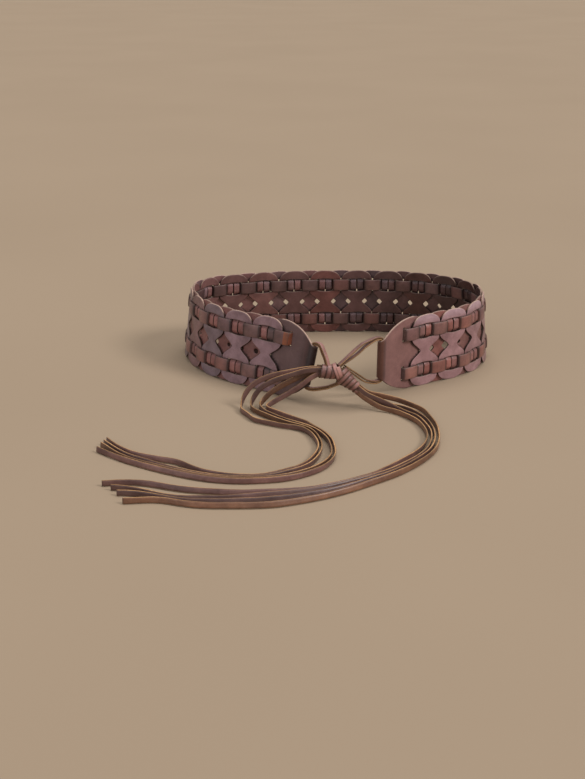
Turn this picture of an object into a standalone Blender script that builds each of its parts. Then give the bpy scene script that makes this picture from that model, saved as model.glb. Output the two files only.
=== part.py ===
"""Wide belt of two layers of leather links, woven together by two straps and tied with laces.

Run with blender --background --python part.py, or from the text editor. Lengths are in metres, +Z is up,
the knot faces -Y, and the belt stands on its lower edge at Z 0.
A place along the belt is given by its run, which is 0 at the left tab's junction and grows round the back,
by its depth, which is positive outwards, and by its height.
"""

import math

import bmesh
import bpy
import numpy as np
from mathutils import Matrix

# Driving sizes of the belt
LOOP_WIDTH = 0.3256
LOOP_DEPTH = 0.2360
BELT_HEIGHT = 0.0752
LINK_COUNT = 20
LEATHER = 0.0018
STRAP_WIDTH = 0.0127
STRAP_RISE = 0.0205
STRAP_TAIL = 0.0120
TAB_LENGTH = 0.0398
TAB_END_HEIGHT = 0.0376
FLAP_LENGTH = 0.0120
LACE = 0.0034
LACE_PAIR = 0.0042

# Clearances
LAYER_GAP = 0.0003
LINK_GAP = 0.0008
WINDOW_PLAY = 0.0004
SLOT_PLAY = 0.0006
LACE_GAP = 0.0006
FLOOR_GAP = 0.0002

# Plan of the lower edge from the left fold round the back to the right fold.
# Columns: across as a share of half the loop's width, back as a share of half its depth,
# lean of the wall towards the middle in degrees.
PLAN = (
    (-0.238, -1.000, 14.0),
    (-0.387, -0.735, 10.0),
    (-0.559, -0.544, 7.7),
    (-0.735, -0.358, 7.0),
    (-0.876, -0.125, 6.5),
    (-0.969, 0.151, 6.3),
    (-0.998, 0.452, 6.8),
    (-0.904, 0.720, 7.7),
    (-0.711, 0.862, 8.0),
    (-0.276, 0.975, 6.0),
    (0.165, 1.002, 6.0),
    (0.603, 0.935, 8.0),
    (0.802, 0.805, 8.2),
    (0.949, 0.581, 7.4),
    (0.999, 0.287, 5.6),
    (0.937, -0.003, 3.1),
    (0.800, -0.241, 0.7),
    (0.432, -0.574, -1.0),
    (0.252, -0.795, -0.5),
)
SAMPLES = 900

# Edge of a scallop. Columns: along as a share of half a link, rise as a share of the scallop's height.
SCALLOP = ((0.34, 1.00), (0.76, 0.72), (1.00, 0.06))
# Side of the hourglass. Columns: along as a share of half a link, height as a share of its half height.
NOTCH = ((0.33, 0.00), (1.00, 1.00))
# Upper edge of a tab. Columns: along as a share of the way to the fold, drop as a share of the whole drop.
TAB_EDGE = ((0.00, 0.00), (0.28, 0.09), (0.60, 0.35), (0.84, 0.68), (1.00, 1.00))
FOLD_STEPS = 6

# Knot. Columns of a turned profile: along and radius, as shares of the named length and radius.
KNOT_SIDES = 10
KNOT_CENTRE = (-0.0034, -0.1215, 0.0350)
BARREL_LENGTH, BARREL_RADIUS = 0.0190, 0.0066
BARREL = ((-1.00, 0.00), (-1.00, 0.86), (-0.70, 1.00), (0.30, 1.00), (0.60, 0.80), (0.60, 0.00))
BARREL_TURN = (0.0, 94.0, 4.0)
RING_LENGTH, RING_RADIUS = 0.0056, 0.0092
RING = ((-0.50, 0.00), (-0.50, 0.72), (-0.25, 1.00), (0.25, 1.00), (0.50, 0.72), (0.50, 0.00))
RING_TURN = (0.0, 78.0, -6.0)
COIL_LENGTH, COIL_RADIUS, COIL_TURNS = 0.0280, 0.0080, 5
COIL_END_SHARE = 0.70
COIL_TURN = (0.0, 127.0, -14.0)

# Routes of the laces, in metres. Each tail has its points in the air and then, as across and back only,
# its points on the floor. The loops go from the knot through a tab's tunnel and back to the knot.
LEFT_TAILS = (
    (
        (
            (-0.0231, -0.1206, 0.0383), (-0.0305, -0.1212, 0.0383), (-0.0485, -0.1225, 0.0355),
            (-0.0620, -0.1230, 0.0330), (-0.0740, -0.1235, 0.0290), (-0.0835, -0.1240, 0.0235),
            (-0.0910, -0.1250, 0.0155), (-0.0945, -0.1275, 0.0080), (-0.0960, -0.1330, 0.0030),
        ),
        (
            (-0.0950, -0.1410), (-0.0910, -0.1480), (-0.0825, -0.1640), (-0.0710, -0.1765),
            (-0.0550, -0.1860), (-0.0415, -0.1945), (-0.0315, -0.2085), (-0.0265, -0.2290),
            (-0.0290, -0.2485), (-0.0405, -0.2645), (-0.0570, -0.2745), (-0.0780, -0.2810),
            (-0.1020, -0.2820), (-0.1265, -0.2715), (-0.1455, -0.2600), (-0.1640, -0.2540),
            (-0.1900, -0.2410), (-0.2135, -0.2130),
        ),
    ),
    (
        (
            (-0.0229, -0.1249, 0.0383), (-0.0305, -0.1255, 0.0381), (-0.0460, -0.1260, 0.0340),
            (-0.0585, -0.1260, 0.0300), (-0.0690, -0.1250, 0.0250), (-0.0775, -0.1235, 0.0185),
            (-0.0830, -0.1230, 0.0110), (-0.0860, -0.1260, 0.0050),
        ),
        (
            (-0.0865, -0.1325), (-0.0830, -0.1405), (-0.0735, -0.1515), (-0.0600, -0.1655),
            (-0.0470, -0.1765), (-0.0320, -0.1895), (-0.0225, -0.2075), (-0.0190, -0.2300),
            (-0.0220, -0.2515), (-0.0345, -0.2695), (-0.0535, -0.2815), (-0.0780, -0.2880),
            (-0.1025, -0.2880), (-0.1320, -0.2770), (-0.1580, -0.2635), (-0.1865, -0.2485),
            (-0.2155, -0.2190),
        ),
    ),
    (
        (
            (-0.0232, -0.1207, 0.0340), (-0.0306, -0.1216, 0.0334), (-0.0430, -0.1223, 0.0285),
            (-0.0545, -0.1223, 0.0225), (-0.0645, -0.1218, 0.0160), (-0.0715, -0.1213, 0.0095),
            (-0.0760, -0.1225, 0.0045),
        ),
        (
            (-0.0780, -0.1280), (-0.0755, -0.1355), (-0.0695, -0.1440), (-0.0580, -0.1565),
            (-0.0430, -0.1690), (-0.0265, -0.1840), (-0.0160, -0.2040), (-0.0120, -0.2290),
            (-0.0160, -0.2540), (-0.0290, -0.2745), (-0.0485, -0.2880), (-0.0750, -0.2945),
            (-0.1055, -0.2940), (-0.1355, -0.2835), (-0.1645, -0.2685), (-0.1915, -0.2525),
            (-0.2180, -0.2255),
        ),
    ),
    (
        (
            (-0.0240, -0.1252, 0.0330), (-0.0290, -0.1262, 0.0305), (-0.0350, -0.1274, 0.0260),
            (-0.0430, -0.1278, 0.0200), (-0.0525, -0.1273, 0.0137), (-0.0615, -0.1265, 0.0080),
            (-0.0680, -0.1270, 0.0040),
        ),
        (
            (-0.0715, -0.1310), (-0.0700, -0.1370), (-0.0645, -0.1425), (-0.0545, -0.1525),
            (-0.0400, -0.1630), (-0.0225, -0.1790), (-0.0095, -0.2005), (-0.0055, -0.2275),
            (-0.0095, -0.2550), (-0.0220, -0.2790), (-0.0425, -0.2940), (-0.0715, -0.3010),
            (-0.1065, -0.3005), (-0.1365, -0.2910), (-0.1680, -0.2745), (-0.1940, -0.2570),
            (-0.2195, -0.2345),
        ),
    ),
)
RIGHT_TAILS = (
    (
        (
            (0.0170, -0.1286, 0.0162), (0.0217, -0.1299, 0.0125), (0.0300, -0.1330, 0.0078),
            (0.0400, -0.1375, 0.0040),
        ),
        (
            (0.0510, -0.1430), (0.0625, -0.1590), (0.0720, -0.1815), (0.0740, -0.2025),
            (0.0680, -0.2245), (0.0540, -0.2455), (0.0370, -0.2645), (0.0185, -0.2800),
            (-0.0025, -0.2930), (-0.0270, -0.3035), (-0.0565, -0.3125), (-0.0850, -0.3170),
            (-0.1140, -0.3180), (-0.1430, -0.3130), (-0.1730, -0.3035), (-0.2045, -0.3045),
        ),
    ),
    (
        (
            (0.0193, -0.1292, 0.0194), (0.0244, -0.1305, 0.0156), (0.0340, -0.1325, 0.0118),
            (0.0450, -0.1350, 0.0075), (0.0550, -0.1390, 0.0036),
        ),
        (
            (0.0630, -0.1480), (0.0690, -0.1555), (0.0770, -0.1800), (0.0780, -0.2040),
            (0.0720, -0.2290), (0.0570, -0.2530), (0.0380, -0.2725), (0.0180, -0.2880),
            (-0.0035, -0.3015), (-0.0280, -0.3130), (-0.0555, -0.3215), (-0.0850, -0.3265),
            (-0.1135, -0.3275), (-0.1395, -0.3235), (-0.1675, -0.3150), (-0.1950, -0.3130),
        ),
    ),
    (
        (
            (0.0179, -0.1248, 0.0162), (0.0227, -0.1261, 0.0124), (0.0310, -0.1275, 0.0076),
            (0.0410, -0.1283, 0.0046),
        ),
        (
            (0.0510, -0.1295), (0.0620, -0.1355), (0.0740, -0.1505), (0.0820, -0.1775),
            (0.0830, -0.2040), (0.0760, -0.2335), (0.0595, -0.2590), (0.0390, -0.2810),
            (0.0175, -0.2970), (-0.0045, -0.3115), (-0.0290, -0.3235), (-0.0555, -0.3330),
            (-0.0845, -0.3375), (-0.1110, -0.3385), (-0.1370, -0.3355), (-0.1635, -0.3275),
            (-0.1875, -0.3265),
        ),
    ),
    (
        (
            (0.0204, -0.1254, 0.0194), (0.0254, -0.1265, 0.0160), (0.0350, -0.1266, 0.0133),
            (0.0460, -0.1258, 0.0105), (0.0570, -0.1260, 0.0075), (0.0680, -0.1295, 0.0045),
        ),
        (
            (0.0775, -0.1375), (0.0820, -0.1515), (0.0870, -0.1775), (0.0872, -0.2065),
            (0.0800, -0.2377), (0.0625, -0.2655), (0.0410, -0.2880), (0.0180, -0.3055),
            (-0.0050, -0.3210), (-0.0300, -0.3340), (-0.0565, -0.3435), (-0.0825, -0.3490),
            (-0.1095, -0.3510), (-0.1355, -0.3490), (-0.1605, -0.3405), (-0.1825, -0.3385),
        ),
    ),
)
LEFT_LOOP = (
    (-0.0127, -0.1213, 0.0430), (-0.0148, -0.1192, 0.0500), (-0.0178, -0.1163, 0.0574),
    (-0.0190, -0.1150, 0.0616), (-0.0220, -0.1120, 0.0634), (-0.0250, -0.1090, 0.0616),
    (-0.0262, -0.1076, 0.0566), (-0.0269, -0.1080, 0.0530), (-0.0290, -0.1095, 0.0420),
    (-0.0310, -0.1109, 0.0320), (-0.0330, -0.1123, 0.0220), (-0.0336, -0.1129, 0.0180),
    (-0.0321, -0.1138, 0.0136),
    (-0.0280, -0.1149, 0.0118), (-0.0210, -0.1168, 0.0136), (-0.0140, -0.1188, 0.0172),
    (-0.0080, -0.1206, 0.0206), (-0.0034, -0.1219, 0.0228),
)
RIGHT_LOOP = (
    (0.0018, -0.1164, 0.0424), (0.0100, -0.1113, 0.0480), (0.0200, -0.1052, 0.0550),
    (0.0300, -0.0990, 0.0612), (0.0366, -0.0949, 0.0634), (0.0402, -0.0927, 0.0616),
    (0.0417, -0.0916, 0.0566), (0.0417, -0.0915, 0.0530), (0.0416, -0.0914, 0.0420),
    (0.0416, -0.0914, 0.0320), (0.0415, -0.0913, 0.0220), (0.0415, -0.0914, 0.0180),
    (0.0401, -0.0924, 0.0136),
    (0.0364, -0.0946, 0.0118), (0.0300, -0.0988, 0.0146), (0.0200, -0.1054, 0.0232),
    (0.0130, -0.1100, 0.0300), (0.0077, -0.1134, 0.0350),
)
# Distance from one point of a lace to the next, in diameters
TAIL_STEP = 3.5
LOOP_STEP = 1.0

# Colours (linear) and roughness of the leather
OUTER_BROWN = (0.115, 0.062, 0.052, 1.0)
INNER_BROWN = (0.082, 0.038, 0.031, 1.0)
STRAP_BROWN = (0.135, 0.068, 0.050, 1.0)
TAB_BROWN = (0.140, 0.075, 0.063, 1.0)
LACE_BROWN = (0.160, 0.085, 0.062, 1.0)
LEATHER_ROUGHNESS = 0.55


def clear_scene():
    for existing in list(bpy.data.objects):
        bpy.data.objects.remove(existing)


def leather(name, colour):
    made = bpy.data.materials.new(name)
    made.use_nodes = True
    shader = made.node_tree.nodes["Principled BSDF"]
    shader.inputs["Base Color"].default_value = colour
    shader.inputs["Roughness"].default_value = LEATHER_ROUGHNESS
    shader.inputs["Metallic"].default_value = 0.0
    made.diffuse_color = colour
    return made


def smooth_curve(knots, samples):
    """Points of the natural cubic spline through the knots, whose first two or three columns are a place."""
    knots = np.array(knots, float)
    steps = np.linalg.norm(np.diff(knots, axis=0), axis=1)
    reach = np.concatenate(([0.0], np.cumsum(steps)))
    system = np.eye(len(knots))
    right = np.zeros_like(knots)
    for i in range(1, len(knots) - 1):
        system[i, i - 1 : i + 2] = steps[i - 1], 2 * (steps[i - 1] + steps[i]), steps[i]
        right[i] = 6 * ((knots[i + 1] - knots[i]) / steps[i] - (knots[i] - knots[i - 1]) / steps[i - 1])
    bend = np.linalg.solve(system, right)
    at = np.linspace(0.0, reach[-1], samples)
    i = np.clip(np.searchsorted(reach, at, side="right") - 1, 0, len(steps) - 1)
    step = steps[i][:, None]
    after = (at - reach[i])[:, None] / step
    before = 1 - after
    curved = (before**3 - before) * bend[i] + (after**3 - after) * bend[i + 1]
    return before * knots[i] + after * knots[i + 1] + curved * step**2 / 6


def lengths_along(points):
    steps = np.linalg.norm(np.diff(points, axis=0), axis=1)
    return np.concatenate(([0.0], np.cumsum(steps)))


class Wall:
    """The belt's wall: flat between its bend lines, which all the layers share."""

    def __init__(self):
        half = np.array([LOOP_WIDTH / 2, LOOP_DEPTH / 2])
        places = np.array([(across, back) for across, back, _ in PLAN]) * half
        drawn = smooth_curve(places, SAMPLES)
        reach = lengths_along(drawn)
        rows = lengths_along(places)
        self.pitch = (reach[-1] - 2 * TAB_LENGTH) / LINK_COUNT
        self.quarter = self.pitch / 4
        self.length = self.pitch * LINK_COUNT
        self.fold_radius = LACE_PAIR / 2 + LACE_GAP + LEATHER / 2
        self.fold_start = TAB_LENGTH - self.fold_radius - LEATHER / 2
        self.tab_bend = (self.quarter + self.fold_start) / 2
        inner = [(2 * j - 1) * self.quarter for j in range(2 * LINK_COUNT + 2)]
        self.lines = np.array(
            [-TAB_LENGTH, -self.tab_bend, *inner, self.length + self.tab_bend, self.length + TAB_LENGTH]
        )
        runs = self.lines + TAB_LENGTH
        self.corners = np.stack([np.interp(runs, reach, drawn[:, axis]) for axis in (0, 1)], axis=1)
        leans = [lean for _, _, lean in PLAN]
        self.leans = np.tan(np.radians(np.interp(runs / reach[-1], rows / rows[-1], leans)))
        self.outward = self.mitres()

    def mitres(self):
        """The way out at each bend line, as long as it takes for parallel faces to stay parallel."""
        along = np.diff(self.corners, axis=0)
        along /= np.linalg.norm(along, axis=1)[:, None]
        faces = np.stack([-along[:, 1], along[:, 0]], axis=1)
        before = np.concatenate((faces[:1], faces))
        after = np.concatenate((faces, faces[-1:]))
        return (before + after) / (1 + (before * after).sum(axis=1))[:, None]

    def point(self, run, depth, height):
        i = int(np.clip(np.searchsorted(self.lines, run, side="right") - 1, 0, len(self.lines) - 2))
        share = (run - self.lines[i]) / (self.lines[i + 1] - self.lines[i])
        ends = [
            self.corners[k] + self.outward[k] * (depth - height * self.leans[k]) for k in (i, i + 1)
        ]
        across, back = (1 - share) * ends[0] + share * ends[1]
        return (across, back, height)


def add_object(name, verts, faces, material):
    """A closed mesh with its faces turned outwards."""
    mesh = bpy.data.meshes.new(name)
    mesh.from_pydata(verts, [], faces)
    work = bmesh.new()
    work.from_mesh(mesh)
    bmesh.ops.recalc_face_normals(work, faces=work.faces)
    work.to_mesh(mesh)
    work.free()
    mesh.materials.append(material)
    made = bpy.data.objects.new(name, mesh)
    bpy.context.collection.objects.link(made)
    return made


def add_sheet(name, regions, place, material):
    """A leather sheet of the given regions of (along, up) points, which share their common corners.

    place(along, up, level) puts a point of the sheet in space, level being how far it lies from the middle.
    """
    found = {}
    corners = []
    outline = {}
    faces = []
    for region in regions:
        face = []
        for along, up in region:
            key = (round(along, 7), round(up, 7))
            if key not in found:
                found[key] = len(corners)
                corners.append((along, up))
            face.append(found[key])
        faces.append(face)
        for edge in zip(face, face[1:] + face[:1]):
            pair = frozenset(edge)
            outline[pair] = None if pair in outline else edge
    count = len(corners)
    half = LEATHER / 2
    verts = [place(along, up, half) for along, up in corners]
    verts += [place(along, up, -half) for along, up in corners]
    backs = [[i + count for i in reversed(face)] for face in faces]
    walls = [(b, a, a + count, b + count) for a, b in (edge for edge in outline.values() if edge)]
    return add_object(name, verts, faces + backs + walls, material)


class LinkShape:
    """Half sizes of a link about its centre, and the flat regions that it is made of."""

    def __init__(self, wall):
        self.half = (wall.pitch - LINK_GAP) / 2
        self.line = wall.quarter
        self.slot = (LEATHER + 2 * SLOT_PLAY) / 2
        self.window = self.line + self.slot
        self.high = STRAP_RISE + STRAP_WIDTH / 2 + WINDOW_PLAY
        self.low = STRAP_RISE - STRAP_WIDTH / 2 - WINDOW_PLAY
        rise = BELT_HEIGHT / 2 - self.high
        self.scallop = [(a * self.half, self.high + r * rise) for a, r in SCALLOP]
        self.notch = [(a * self.half, h * self.low) for a, h in NOTCH]
        self.cap = float(np.interp(self.line, *zip(*self.scallop)))
        self.waist = float(np.interp(self.line, *zip(*self.notch)))
        self.apex = self.notch[0][0]

    def top_points(self, inside):
        """Points of the scallop's edge on one side of the bend line, from the middle outwards."""
        return [point for point in self.scallop if (point[0] < self.line) == inside]

    def side(self):
        """The upper right part, from the bend line to the link's end, with the strap's window cut in."""
        line = self.line
        return [
            (line, self.cap),
            *self.top_points(inside=False),
            (self.half, self.low),
            (line, self.waist),
            (line, self.low),
            (self.window, self.low),
            (self.window, self.high),
            (line, self.high),
        ]

    def top(self):
        """The scallop's middle, between the bend lines."""
        right = [*self.top_points(inside=True), (self.line, self.cap), (self.line, self.high)]
        return right + [(-along, up) for along, up in reversed(right)]

    def middle(self):
        """The hourglass between the bend lines."""
        corner = [(self.line, self.low), (self.line, self.waist)]
        right = [*corner, (self.apex, 0.0), *((along, -up) for along, up in reversed(corner))]
        return right + [(-along, up) for along, up in reversed(right)]

    def regions(self):
        made = [self.middle()]
        for up_sign in (1, -1):
            made.append([(along, up_sign * up) for along, up in self.top()])
            for side_sign in (1, -1):
                made.append([(side_sign * along, up_sign * up) for along, up in self.side()])
        return made


def layer_depth(outer):
    depth = (LAYER_GAP + LEATHER) / 2
    return depth if outer else -depth


def add_links(wall, shape, outer, material):
    """One layer of links. The tabs take the first and last places of the inner one."""
    depth = layer_depth(outer)
    first = 0.5 if outer else 1.0
    count = LINK_COUNT if outer else LINK_COUNT - 1
    kind = "outer_link" if outer else "inner_link"
    for number in range(count):
        centre = (first + number) * wall.pitch

        def place(along, up, level, centre=centre):
            return wall.point(centre + along, depth + level, BELT_HEIGHT / 2 + up)

        add_sheet(f"{kind}_{number + 1:02d}", shape.regions(), place, material)


def add_strap(name, wall, height, material):
    """A strap that passes outside the outer links' junctions and inside the inner links' ones."""
    half = LEATHER / 2
    depth = LAYER_GAP / 2 + LEATHER + LAYER_GAP + half
    first = -wall.quarter
    sides = [((first - STRAP_TAIL, half - depth), (first - STRAP_TAIL, -half - depth))]
    for crossing in range(2 * LINK_COUNT + 2):
        run = first + crossing * wall.pitch / 2
        rising = crossing % 2 == 0
        skew = -half if rising else half
        levels = (-depth, depth) if rising else (depth, -depth)
        sides += [((run + skew, level + half), (run - skew, level - half)) for level in levels]
    last = wall.length + wall.quarter + STRAP_TAIL
    sides.append(((last, half - depth), (last, -half - depth)))
    verts = []
    for outside, inside in sides:
        for run, level in (outside, inside):
            verts += [wall.point(run, level, height + edge * STRAP_WIDTH / 2) for edge in (-1, 1)]
    faces = [(0, 2, 3, 1), tuple(len(verts) - 4 + i for i in (0, 1, 3, 2))]
    for start in range(0, len(verts) - 4, 4):
        for a, b in ((0, 1), (1, 3), (3, 2), (2, 0)):
            faces.append((start + a, start + b, start + 4 + b, start + 4 + a))
    return add_object(name, verts, faces, material)


class TabShape:
    """Regions of a tab: along is positive into the belt and negative towards the fold."""

    def __init__(self, wall, link):
        self.wall = wall
        self.link = link
        self.end = TAB_END_HEIGHT / 2

    def edge(self, way):
        """Height of the tab's upper edge over its middle, this far from the junction towards the fold."""
        shares, drops = zip(*TAB_EDGE)
        drop = np.interp(way / self.wall.fold_start, shares, drops)
        return BELT_HEIGHT / 2 - float(drop) * (BELT_HEIGHT / 2 - self.end)

    def edge_points(self, start, stop):
        """Points of the upper edge from start to stop on the way to the fold, both included."""
        ways = [share * self.wall.fold_start for share, _ in TAB_EDGE]
        inner = [way for way in ways if start < way < stop]
        return [(-way, self.edge(way)) for way in (start, *inner, stop)]

    def slot_half(self, line, sign):
        """The half of a strap's slot that lies on one side of a bend line."""
        link = self.link
        far = line + sign * link.slot
        return [(line, link.high), (far, link.high), (far, link.low), (line, link.low)]

    def regions(self):
        link = self.link
        line = link.line
        made = []
        for sign in (1, -1):
            made.append([(along, sign * up) for along, up in link.side()])
        crown = [(0.0, BELT_HEIGHT / 2), *link.top_points(inside=True), (line, link.cap)]
        right = [*self.slot_half(line, -1), (line, link.waist), (link.apex, 0.0)]
        left = list(reversed(self.slot_half(-line, 1)))
        shoulder = [(-line, self.edge(line))]
        middle = left + shoulder + crown + right
        made.append(middle + [(along, -up) for along, up in reversed(middle) if up > 0])
        bend = self.wall.tab_bend
        body = self.slot_half(-line, -1)
        upper = list(reversed(self.edge_points(line, bend))) + body
        made.append(upper + [(along, -up) for along, up in reversed(upper)])
        end = list(reversed(self.edge_points(bend, self.wall.fold_start)))
        made.append(end + [(along, -up) for along, up in reversed(end)])
        arc = math.pi * self.wall.fold_radius
        marks = [self.wall.fold_start + arc * step / FOLD_STEPS for step in range(FOLD_STEPS + 1)]
        marks.append(marks[-1] + FLAP_LENGTH)
        for near, far in zip(marks, marks[1:]):
            made.append([(-far, self.end), (-near, self.end), (-near, -self.end), (-far, -self.end)])
        return made


def add_tab(name, wall, link, left, material):
    shape = TabShape(wall, link)
    depth = layer_depth(outer=False)
    radius = wall.fold_radius

    def place(along, up, level):
        way = -along - wall.fold_start
        if way > 0:
            turn = min(way / radius, math.pi)
            flap = max(way - math.pi * radius, 0.0)
            along = -wall.fold_start - (radius + level) * math.sin(turn) + flap
            level = -radius + (radius + level) * math.cos(turn)
        run = along if left else wall.length - along
        return wall.point(run, depth + level, BELT_HEIGHT / 2 + up)

    return add_sheet(name, shape.regions(), place, material)


def add_lace(name, route, diameter, step, material):
    """A plain tube along a smooth curve through the route's points, never lower than the floor."""
    dense = smooth_curve(route, SAMPLES)
    reach = lengths_along(dense)
    count = int(round(reach[-1] / (step * diameter)))
    even = np.linspace(0.0, reach[-1], count + 1)
    points = np.stack([np.interp(even, reach, dense[:, axis]) for axis in range(3)], axis=1)
    points[:, 2] = np.maximum(points[:, 2], diameter / 2 + FLOOR_GAP)
    curve = bpy.data.curves.new(name, "CURVE")
    curve.dimensions = "3D"
    curve.bevel_depth = diameter / 2
    curve.bevel_resolution = 2
    curve.use_fill_caps = True
    spline = curve.splines.new("POLY")
    spline.points.add(len(points) - 1)
    for target, point in zip(spline.points, points):
        target.co = (*point, 1.0)
    curve.materials.append(material)
    made = bpy.data.objects.new(name, curve)
    bpy.context.collection.objects.link(made)
    return made


def turned(name, profile, length, radius, centre, turn, material):
    """A body turned about its axis, from a profile that starts and ends on it."""
    rows = [(along * length, share * radius) for along, share in profile]
    verts = [(0.0, 0.0, rows[0][0])]
    for along, reach in rows[1:-1]:
        for side in range(KNOT_SIDES):
            angle = 2 * math.pi * side / KNOT_SIDES
            verts.append((reach * math.cos(angle), reach * math.sin(angle), along))
    verts.append((0.0, 0.0, rows[-1][0]))
    last = len(verts) - 1
    rings = len(rows) - 2
    faces = []
    for side in range(KNOT_SIDES):
        after = (side + 1) % KNOT_SIDES
        faces.append((0, 1 + after, 1 + side))
        for ring in range(rings - 1):
            low = 1 + ring * KNOT_SIDES
            faces.append((low + side, low + after, low + KNOT_SIDES + after, low + KNOT_SIDES + side))
        top = 1 + (rings - 1) * KNOT_SIDES
        faces.append((last, top + side, top + after))
    made = add_object(name, verts, faces, material)
    made.location = centre
    made.rotation_euler = [math.radians(angle) for angle in turn]
    made.data.shade_smooth()
    return made


def coil_profile():
    """Rounded turns that get narrower from the knot to the coil's end."""
    rows = [(0.0, 0.0)]
    for turn in range(COIL_TURNS):
        size = 1 - (1 - COIL_END_SHARE) * turn / (COIL_TURNS - 1)
        rows += [((turn + 0.05) / COIL_TURNS, 0.86 * size), ((turn + 0.5) / COIL_TURNS, size)]
    rows += [(0.99, 0.86 * COIL_END_SHARE), (0.99, 0.0)]
    return rows


def add_knot(material):
    knot = turned("knot", BARREL, BARREL_LENGTH, BARREL_RADIUS, KNOT_CENTRE, BARREL_TURN, material)
    ring = turned("knot_ring", RING, RING_LENGTH, RING_RADIUS, KNOT_CENTRE, RING_TURN, material)
    coil = turned("knot_coil", coil_profile(), COIL_LENGTH, COIL_RADIUS, KNOT_CENTRE, COIL_TURN, material)
    for helper in (ring, coil):
        helper.hide_render = True
        helper.display_type = "WIRE"
        joined = knot.modifiers.new(f"with {helper.name}", "BOOLEAN")
        joined.operation = "UNION"
        joined.solver = "EXACT"
        joined.object = helper
    return knot


def centre_belt(pieces):
    """Moves the belt so that the middle of its box is at X 0 and Y 0."""
    corners = np.array([corner.co for piece in pieces for corner in piece.data.vertices])
    middle = (corners.min(axis=0) + corners.max(axis=0)) / 2
    for piece in pieces:
        piece.data.transform(Matrix.Translation((-middle[0], -middle[1], 0.0)))


def build():
    clear_scene()
    wall = Wall()
    link = LinkShape(wall)
    add_links(wall, link, True, leather("outer leather", OUTER_BROWN))
    add_links(wall, link, False, leather("inner leather", INNER_BROWN))
    strap_leather = leather("strap leather", STRAP_BROWN)
    middle = BELT_HEIGHT / 2
    add_strap("upper_strap", wall, middle + STRAP_RISE, strap_leather)
    add_strap("lower_strap", wall, middle - STRAP_RISE, strap_leather)
    tab_leather = leather("tab leather", TAB_BROWN)
    add_tab("left_tab", wall, link, True, tab_leather)
    add_tab("right_tab", wall, link, False, tab_leather)
    centre_belt(list(bpy.data.objects))
    lace_leather = leather("lace leather", LACE_BROWN)
    add_knot(lace_leather)
    add_lace("left_lace_loop", LEFT_LOOP, LACE_PAIR, LOOP_STEP, lace_leather)
    add_lace("right_lace_loop", RIGHT_LOOP, LACE_PAIR, LOOP_STEP, lace_leather)
    for number, (raised, resting) in enumerate(LEFT_TAILS + RIGHT_TAILS):
        route = [*raised, *((across, back, LACE / 2 + FLOOR_GAP) for across, back in resting)]
        add_lace(f"lace_tail_{number + 1}", route, LACE, TAIL_STEP, lace_leather)


build()
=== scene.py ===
"""Looks of the braided leather belt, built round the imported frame. Lengths are in metres, +Z is up."""

import math

import bpy
import numpy as np
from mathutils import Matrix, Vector
from mathutils.geometry import delaunay_2d_cdt


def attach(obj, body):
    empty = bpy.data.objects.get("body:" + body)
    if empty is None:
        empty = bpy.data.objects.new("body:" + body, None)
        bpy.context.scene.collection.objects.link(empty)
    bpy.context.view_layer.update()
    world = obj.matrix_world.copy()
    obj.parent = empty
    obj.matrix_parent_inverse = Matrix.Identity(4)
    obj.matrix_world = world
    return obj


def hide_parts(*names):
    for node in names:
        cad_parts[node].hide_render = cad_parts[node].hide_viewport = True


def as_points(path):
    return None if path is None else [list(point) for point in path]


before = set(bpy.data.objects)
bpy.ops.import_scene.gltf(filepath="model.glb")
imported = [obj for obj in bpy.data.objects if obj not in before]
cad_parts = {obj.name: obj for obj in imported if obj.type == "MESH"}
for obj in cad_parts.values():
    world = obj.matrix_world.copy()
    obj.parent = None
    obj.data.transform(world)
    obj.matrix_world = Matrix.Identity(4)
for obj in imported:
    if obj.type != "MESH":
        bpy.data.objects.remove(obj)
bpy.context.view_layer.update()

# Sizes shared with the part's source
LOOP_WIDTH = 0.3256
LOOP_DEPTH = 0.236
BELT_HEIGHT = 0.0752
LINK_COUNT = 20
LEATHER = 0.0018
STRAP_WIDTH = 0.0127
STRAP_RISE = 0.0205
TAB_LENGTH = 0.0398
TAB_END_HEIGHT = 0.0376
FLAP_LENGTH = 0.012
LACE_WIDTH = 0.0054
LACE_THICK = 0.0014
LAYER_GAP = 0.0003
LINK_GAP = 0.0008
BELT_SHIFT = (0.0003, -0.00383)
PLAN = (
    (-0.238, -1.0, 14.0), (-0.387, -0.735, 10.0), (-0.559, -0.544, 7.7), (-0.735, -0.358, 7.0),
    (-0.876, -0.125, 6.5), (-0.969, 0.151, 6.3), (-0.998, 0.452, 6.8), (-0.904, 0.72, 7.7),
    (-0.711, 0.862, 8.0), (-0.276, 0.975, 6.0), (0.165, 1.002, 6.0), (0.603, 0.935, 8.0),
    (0.802, 0.805, 8.2), (0.949, 0.581, 7.4), (0.999, 0.287, 5.6), (0.937, -0.003, 3.1),
    (0.8, -0.241, 0.7), (0.432, -0.574, -1.0), (0.252, -0.795, -0.5),
)


# The camera, at the photograph's angle, and the lights
FRAME_HEIGHT = 779.0
FOCAL_PIXELS = 1188.7
SENSOR_HEIGHT = 36.0
CAMERA_PLACE = (-0.0463, -1.1992, 0.4246)
CAMERA_TARGET = (-0.0463, -0.0768, 0.0)
# Name, place, strength, angle in degrees and colour of each sun
SUNS = (
    ("key light", (1.2, -0.55, 1.1), 1.75, 18.0, (1.0, 0.98, 0.96)),
    ("top light", (0.15, 0.25, 1.6), 1.6, 46.0, (1.0, 0.985, 0.97)),
    ("front light", (-1.0, -1.1, 0.7), 0.55, 60.0, (0.97, 0.98, 1.0)),
)
ROOM_COLOUR = (0.97, 0.98, 1.0, 1.0)
ROOM_STRENGTH = 0.33


def aimed(name, data, place, target):
    """A camera or light in the scene, turned towards the target."""
    made = bpy.data.objects.new(name, data)
    bpy.context.scene.collection.objects.link(made)
    made.location = place
    way = Vector(target) - made.location
    made.rotation_euler = way.to_track_quat("-Z", "Y").to_euler()
    return made


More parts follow.
